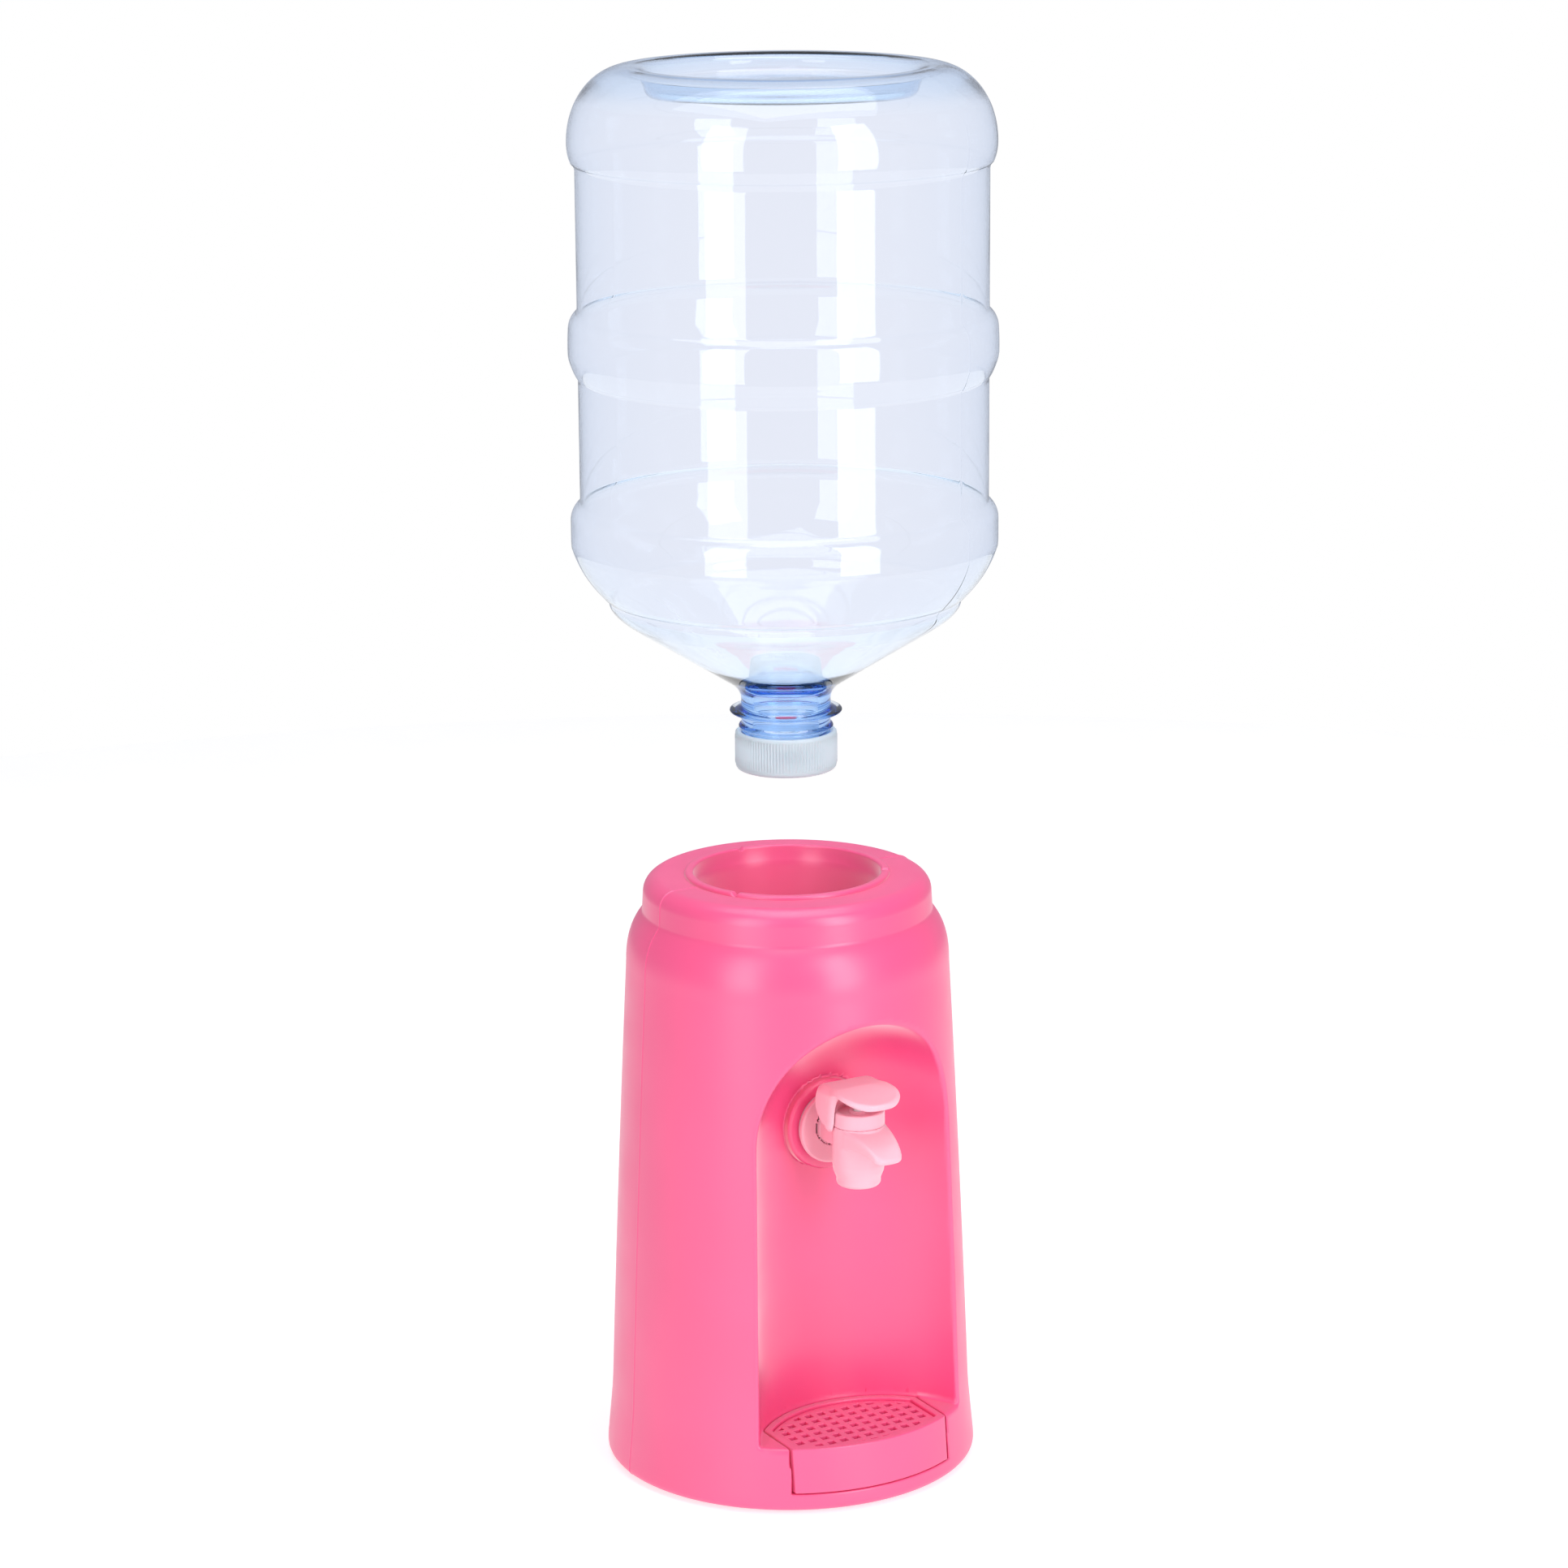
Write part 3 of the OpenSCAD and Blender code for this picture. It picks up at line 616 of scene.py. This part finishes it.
NECK = [
    (NECK_R - 0.7, 0), *arc((NECK_R - 0.6, 0.6), 0.6, -70, 0, 4),
    *[(NECK_R, h) for h in np.linspace(0.9, 9.6, 28)],
    *bend((NECK_R, 9.9), (NECK_R + 1.6, 10.9), (NECK_R, 11.9), 8), (NECK_R, 13),
    *bend((NECK_R, 14.4), (NECK_R + 0.1, 15.2), (16.6, 15.3), 5),
    *arc((16.7, 15.8), 0.45, -90, 90, 6),
    *bend((16.6, 16.3), (NECK_R + 0.1, 16.5), (NECK_R, 17.6), 5)]
SHELL = [
    *bend((NECK_R, 19), (NECK_R, 23), (18.4, 25.6), 10),
    *bend((20, 26.6), (34, 35.5), (46, 42.9), 8),
    *bend((47.2, 43.7), (52.6, 47.1), (53.3, 49.5), 10),
    *bend((53.5, 50.6), (53.8, 51.6), (55.0, 52.3), 5),
    *bend((56.2, 53.6), (62.0, 59.6), (BAND_R - 0.1, 67.4), 14),
    *bend((BAND_R, 69), (BAND_R, 72), (BAND_R, 74.4), 3),
    *bend((BAND_R, 75.4), (BAND_R, 78.4), (BOTTLE_R + 0.3, 80.4), 8),
    *bend((BOTTLE_R + 0.15, 80.7), (BOTTLE_R, 81.4), (BOTTLE_R, 82.6), 4),
    *[(BOTTLE_R, h) for h in (83.2, 92, 100, 108, 117, 117.8)],
    *bend((BOTTLE_R, 118.4), (BOTTLE_R + 1.5, 120.2), (BAND_R - 0.2, 124.4), 10),
    *bend((BAND_R, 125.6), (BAND_R + 0.1, 129), (BAND_R - 0.1, 132.4), 6),
    *bend((BAND_R - 0.15, 133.4), (BAND_R - 0.3, 136.4), (BOTTLE_R + 0.3, 138.3), 10),
    *bend((BOTTLE_R + 0.15, 138.6), (BOTTLE_R, 139.3), (BOTTLE_R, 140.5), 4),
    *[(BOTTLE_R, h) for h in (141.1, 147, 157, 167, 178.4, 179.1)],
    *bend((BOTTLE_R, 179.6), (BOTTLE_R - 0.1, 181.4), (BOTTLE_R + 0.7, 182.3), 6),
    *bend((BOTTLE_R + 1.2, 182.8), (BAND_R - 0.7, 185), (BAND_R - 0.6, 188), 6),
    *[(46.1 + 17.8 * math.cos(a), 188.7 + 22.1 * math.sin(a))
      for a in np.linspace(0.03, math.pi / 2, 24)],
    *bend((44.4, 210.8), (40.7, 210.9), (39.9, 208.4), 12),
    *bend((39.2, 206.2), (38.4, 204.9), (35.4, 204.8), 8),
    *bend((34, 204.8), (20, 204.4), (8, 203.2), 6), (0, 203)]
BORE_R, BORE_TOP = 10.2, 22.0
THIN_WALL, NECK_EXTRA, RING_EXTRA = 0.85, 2.1, 0.6


def wall_at(h):
    """The bottle's wall thickness at a height: thick at the neck and at the standing ring."""
    return THIN_WALL + NECK_EXTRA * smooth_step(29, 19, h) + RING_EXTRA * smooth_step(200, 209, h)


def moved_in(path, depth):
    """A path moved to its left by depth(height)."""
    path = np.array(path)
    step = np.diff(path, axis=0)
    step /= length(*step.T)[:, None]
    way = np.concatenate([step[:1], step[1:] + step[:-1], step[-1:]])
    way /= length(*way.T)[:, None]
    return path + np.stack([-way[:, 1], way[:, 0]], -1) * depth(path[:, 1])[:, None]


inner = moved_in(SHELL, wall_at)
inner[-1] = (0, inner[-2][1])
inner = [tuple(p) for p in inner if p[1] > BORE_TOP + 3]
BOTTLE_OUTLINE = [(r, h + MOUTH_Z) for r, h in [
    *NECK, *SHELL, *inner[::-1],
    *bend((14.6, 25.4), (BORE_R + 0.3, 23.6), (BORE_R, BORE_TOP - 2), 6),
    (BORE_R, 12), (BORE_R, 4), (BORE_R, 0.6), (BORE_R + 0.6, 0)]]
THREAD_PITCH, THREAD_H = 3.18, 0.36
SEAMS = (118.4, 298.4)
BOTTLE_SEAM_H = 0.035


def thread(r, a, z):
    """Raises a thread on the outside of the neck, and the two opposite mould seams on the
    body."""
    h = z - MOUTH_Z
    turn = (a % (2 * np.pi)) / (2 * np.pi)
    phase = (h - 1.5 - turn * THREAD_PITCH + THREAD_PITCH / 2) % THREAD_PITCH - THREAD_PITCH / 2
    on_neck = (r > NECK_R - 0.1) * smooth_step(1.2, 2.2, h) * smooth_step(9.4, 8.6, h)
    across = r * np.sin(a - math.radians(SEAMS[0]))
    on_body = (r > NECK_R + 0.5) * (h > 24) * (h < 196)
    seam = BOTTLE_SEAM_H * np.exp(-((across / 0.4) ** 2)) * on_body
    return r + THREAD_H * np.exp(-((phase / 0.5) ** 2)) * on_neck + seam, z


around_bottle = sorted({*np.linspace(0, 360, 144, endpoint=False),
                        *(s + d for s in SEAMS for d in (-0.6, -0.3, 0, 0.3, 0.6))})
bottle_piece = revolve("clear_bottle", BOTTLE_OUTLINE, around_bottle, thread, sharp=50)

# The cap: a plain band over fine grip ribs
RIBS, RIB_H = 100, 0.42
CAP_OUTLINE = [(r, z + CAP_LOW[2]) for r, z in [
    (6, 0.25), (6.25, 0), *arc((CAP_R - 1.6, 1.4), 1.4, -90, 0, 6),
    (CAP_R - 0.2, 1.7), (CAP_R, 2.1), (CAP_R, 5), (CAP_R, 8), (CAP_R, 10.4), (CAP_R - 0.15, 10.8),
    (CAP_R - 0.15, 11.4), (CAP_R - 0.6, 11.9), (CAP_R - 0.9, 12), (NECK_R + 0.6, 12),
    (NECK_R + 0.45, 11.8), (NECK_R + 0.45, 1.7), (NECK_R + 0.2, 1.5), (6.3, 1.5), (6, 1.3)]]


def ribbed(r, a, z):
    """Sinks the grooves between the cap's grip ribs."""
    h = z - CAP_LOW[2]
    grip = (r > CAP_R - 0.1) * smooth_step(1.7, 2.3, h) * smooth_step(10.9, 10.3, h)
    return r - RIB_H * grip * (0.5 - 0.5 * np.cos(a * RIBS)), z


around_cap = np.arange(4 * RIBS) * 360 / (4 * RIBS)
cap_piece = revolve("ribbed_cap", CAP_OUTLINE, around_cap, ribbed, sharp=60)

# ---- Materials ----


class Nodes:
    """Short calls for building one material's node tree."""

    def __init__(self, name):
        self.material = bpy.data.materials.new(name)
        self.material.use_nodes = True
        self.tree = self.material.node_tree
        self.shader = self.tree.nodes["Principled BSDF"]
        self.place = self.add("ShaderNodeTexCoord").outputs["Object"]

    def add(self, kind, **settings):
        node = self.tree.nodes.new(kind)
        for key, value in settings.items():
            setattr(node, key, value)
        return node

    def link(self, a, b):
        self.tree.links.new(a, b)

    def noise(self, size_mm, detail):
        """Soft noise whose blotches are about size_mm across."""
        node = self.add("ShaderNodeTexNoise")
        node.inputs["Scale"].default_value = 1 / (size_mm * MM)
        node.inputs["Detail"].default_value = detail
        self.link(self.place, node.inputs["Vector"])
        return node.outputs["Fac"]

    def spread(self, value, low, high):
        """Maps a noise value to a range of numbers."""
        node = self.add("ShaderNodeMapRange", interpolation_type="SMOOTHSTEP")
        sockets = {"From Min": 0.2, "From Max": 0.8, "To Min": low, "To Max": high}
        for socket, number in sockets.items():
            node.inputs[socket].default_value = number
        self.link(value, node.inputs["Value"])
        return node.outputs["Result"]

    def tint(self, value, dark, light):
        """Mixes two colours by a noise value."""
        node = self.add("ShaderNodeMix", data_type="RGBA")
        self.link(self.spread(value, 0, 1), node.inputs[0])
        node.inputs[6].default_value = (*dark, 1)
        node.inputs[7].default_value = (*light, 1)
        return node.outputs[2]

    def bump(self, value, height_mm, strength):
        """A surface normal that follows a noise value."""
        node = self.add("ShaderNodeBump")
        node.inputs["Distance"].default_value = height_mm * MM
        node.inputs["Strength"].default_value = strength
        self.link(value, node.inputs["Height"])
        return node.outputs["Normal"]


def moulded(name, colour, roughness, grain=0.012, soft=0.0, gloss=0.5):
    """Moulded plastic: faint flow clouding, uneven gloss and a gently uneven skin, which grain
    gives the height of in millimetres."""
    n = Nodes(name)
    dark = tuple(c * 0.955 for c in colour)
    light = tuple(min(c * 1.03, 1) for c in colour)
    n.link(n.tint(n.noise(38, 1), dark, light), n.shader.inputs["Base Color"])
    uneven = n.spread(n.noise(14, 1), roughness - 0.02, roughness + 0.04)
    n.link(uneven, n.shader.inputs["Roughness"])
    n.link(n.bump(n.noise(5, 1), grain, 0.5), n.shader.inputs["Normal"])
    n.shader.inputs["Specular IOR Level"].default_value = gloss
    if soft:
        n.shader.inputs["Subsurface Weight"].default_value = soft
        n.shader.inputs["Subsurface Radius"].default_value = (1.0, 0.45, 0.5)
        n.shader.inputs["Subsurface Scale"].default_value = 0.002
    return n.material


PET_IOR, PET_TINT, PET_DENSITY = 1.4, (0.08, 0.51, 0.94), 112


def clear_plastic(name):
    """Blow-moulded PET: colourless at the surface and blue through its thickness."""
    n = Nodes(name)
    n.shader.inputs["Base Color"].default_value = (1, 1, 1, 1)
    n.shader.inputs["Transmission Weight"].default_value = 1
    n.shader.inputs["IOR"].default_value = PET_IOR
    n.link(n.spread(n.noise(30, 2), 0.0, 0.03), n.shader.inputs["Roughness"])
    n.link(n.bump(n.noise(16, 1), 0.05, 0.5), n.shader.inputs["Normal"])
    inside = n.add("ShaderNodeVolumeAbsorption")
    inside.inputs["Color"].default_value = (*PET_TINT, 1)
    inside.inputs["Density"].default_value = PET_DENSITY
    n.link(inside.outputs[0], n.tree.nodes["Material Output"].inputs["Volume"])
    return n.material


def brushed_steel(name):
    """Bright steel wire and screws."""
    n = Nodes(name)
    n.shader.inputs["Metallic"].default_value = 1
    tone = n.tint(n.noise(0.8, 3), (0.56, 0.57, 0.58), (0.70, 0.71, 0.72))
    n.link(tone, n.shader.inputs["Base Color"])
    n.link(n.spread(n.noise(0.5, 4), 0.29, 0.40), n.shader.inputs["Roughness"])
    n.link(n.bump(n.noise(0.15, 2), 0.004, 0.5), n.shader.inputs["Normal"])
    return n.material


PINK = (0.92, 0.085, 0.255)
finish = {
    "pink_plastic": moulded("pink_satin_plastic", PINK, 0.33, grain=0.006, gloss=1.0),
    "light_pink_plastic": moulded("light_pink_plastic", (0.96, 0.50, 0.60), 0.34, soft=0.12),
    "clear_pet": clear_plastic("clear_blue_pet"),
    "frosted_plastic": moulded("frosted_plastic", (0.47, 0.53, 0.58), 0.42, grain=0.02, soft=0.2),
    "silicone": moulded("milky_silicone", (0.72, 0.68, 0.70), 0.55, grain=0.03, soft=0.2),
    "valve_white": moulded("valve_white_plastic", (0.86, 0.87, 0.88), 0.34, grain=0.01, soft=0.1),
    "steel": brushed_steel("brushed_steel")}


def dress(piece, slot, node, body_name):
    """Gives a piece its finish, hides the CAD node it stands for and fixes it to its body."""
    piece.data.materials.clear()
    piece.data.materials.append(finish[slot])
    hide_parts(node)
    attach(piece, body_name)


dress(housing_piece, "pink_plastic", "housing", "base")
dress(well_piece, "pink_plastic", "reservoir", "base")
dress(tap_piece, "light_pink_plastic", "tap_body", "base")
dress(bonnet_piece, "light_pink_plastic", "tap_bonnet", "base")
dress(lever_piece, "light_pink_plastic", "tap_lever", "lever")
dress(tray_piece, "pink_plastic", "drip_tray", "tray")
dress(grate_piece, "pink_plastic", "drip_grate", "grate")
dress(bottle_piece, "clear_pet", "bottle", "bottle")
dress(cap_piece, "frosted_plastic", "bottle_cap", "cap")
# The held bottle and its cap cast no shadow, and no piece mirrors the housing or the well
for piece in (bottle_piece, cap_piece):
    piece.visible_shadow = False
for piece in (housing_piece, well_piece):
    piece.visible_glossy = False

KEPT = {
    "pink_plastic": ["base_plate"], "light_pink_plastic": ["tap_nut"],
    "silicone": ["foot_1", "foot_2", "foot_3", "foot_4", "flange_gasket", "inner_gasket",
                 "stem_o_ring", "valve_seal", "cap_liner"],
    "valve_white": ["valve_stem"], "steel": ["plate_screws", "lever_pins", "valve_spring"]}
for slot, nodes in KEPT.items():
    for node in nodes:
        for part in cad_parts[node].material_slots:
            part.material = finish[slot]
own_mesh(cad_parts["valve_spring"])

# ---- Studio ----

scene = bpy.context.scene
scene.view_settings.view_transform = "Standard"

world = bpy.data.worlds.new("studio")
scene.world = world
world.use_nodes = True
world_nodes, world_links = world.node_tree.nodes, world.node_tree.links
backdrop = world_nodes["Background"]
ray = world_nodes.new("ShaderNodeLightPath")
mirrored_ray = world_nodes.new("ShaderNodeMath")
mirrored_ray.operation = "SUBTRACT"
mirrored_ray.use_clamp = True
world_links.new(ray.outputs["Is Glossy Ray"], mirrored_ray.inputs[0])
world_links.new(ray.outputs["Is Transmission Ray"], mirrored_ray.inputs[1])


def seen_by(which, colour, otherwise=None):
    """Colour of the surroundings for one kind of ray, with otherwise, or white, for the rest."""
    mix = world_nodes.new("ShaderNodeMix")
    mix.data_type = "RGBA"
    world_links.new(which, mix.inputs[0])
    mix.inputs[7].default_value = (*colour, 1)
    if otherwise:
        world_links.new(otherwise, mix.inputs[6])
    else:
        mix.inputs[6].default_value = (1, 1, 1, 1)
    return mix.outputs[2]


# What lights the pieces, what shows through the clear bottle, and what the pieces mirror
LIT_BY, SHOWN_THROUGH, MIRRORED = (0.28, 0.28, 0.285), (0.965, 0.925, 0.957), (0.46, 0.49, 0.56)
around = seen_by(ray.outputs["Is Diffuse Ray"], LIT_BY)
around = seen_by(ray.outputs["Is Transmission Ray"], SHOWN_THROUGH, around)
around = seen_by(mirrored_ray.outputs[0], MIRRORED, around)
world_links.new(around, backdrop.inputs["Color"])

FLOOR_R, FLOOR_GLOW = 1000.0, 0.64
floor = revolve("floor", [(0, 0), (120, 0), (400, 0), (FLOOR_R, 0)], np.arange(0, 360, 5))
floor.data.flip_normals()
paper = Nodes("white_paper")
paper.link(paper.tint(paper.noise(60, 3), (0.57, 0.57, 0.575), (0.59, 0.59, 0.595)),
           paper.shader.inputs["Base Color"])
paper.shader.inputs["Roughness"].default_value = 0.8
paper.shader.inputs["Emission Color"].default_value = (1, 1, 1, 1)
paper.shader.inputs["Emission Strength"].default_value = FLOOR_GLOW
floor.data.materials.append(paper.material)

CAMERA_PLACE = (-0.668, -1.1807, 0.562)
CAMERA_TILT, CAMERA_ROLL, CAMERA_TURN = 75.7, 0.383, -29.566
FOCAL_LENGTH, SENSOR_WIDTH = 104.9, 36
lens = bpy.data.cameras.new("camera")
lens.lens = FOCAL_LENGTH
lens.sensor_width = SENSOR_WIDTH
camera = bpy.data.objects.new("camera", lens)
camera.location = CAMERA_PLACE
camera.rotation_euler = tuple(math.radians(a) for a in (CAMERA_TILT, CAMERA_ROLL, CAMERA_TURN))
scene.collection.objects.link(camera)
scene.camera = camera


def soft_box(name, bearing, distance, low, high, width, strength):
    """An upright light panel facing the object: bearing in degrees from the front, towards +X,
    and sizes in metres. strength is its brightness, where the white backdrop is 1."""
    light = bpy.data.lights.new(name, "AREA")
    light.shape = "RECTANGLE"
    light.size, light.size_y = width, high - low
    light.energy = strength * math.pi * width * (high - low)
    made = bpy.data.objects.new(name, light)
    turn = math.radians(bearing)
    made.location = (distance * math.sin(turn), -distance * math.cos(turn), (low + high) / 2)
    made.rotation_euler = (math.radians(90), 0, turn)
    scene.collection.objects.link(made)
    return made


# The two strips show as the bottle's upright highlights. The key is neither mirrored nor seen
# through the bottle.
soft_box("left_strip", CAMERA_TURN - 31, 1.25, 0.0, 1.4, 0.49, 3.0)
soft_box("right_strip", CAMERA_TURN + 40, 1.25, 0.0, 1.4, 0.48, 3.9)
key = soft_box("key", CAMERA_TURN + 32, 1.2, 0.55, 1.35, 0.6, 2.4)
key.visible_glossy = False
key.visible_transmission = False
TOP_SIZE, TOP_STRENGTH = 1.4, 2.0
top = bpy.data.lights.new("top_panel", "AREA")
top.shape = "SQUARE"
top.size = TOP_SIZE
top.energy = TOP_STRENGTH * math.pi * top.size ** 2
top_panel = bpy.data.objects.new("top_panel", top)
top_panel.location = (0, -0.1, 1.7)
scene.collection.objects.link(top_panel)
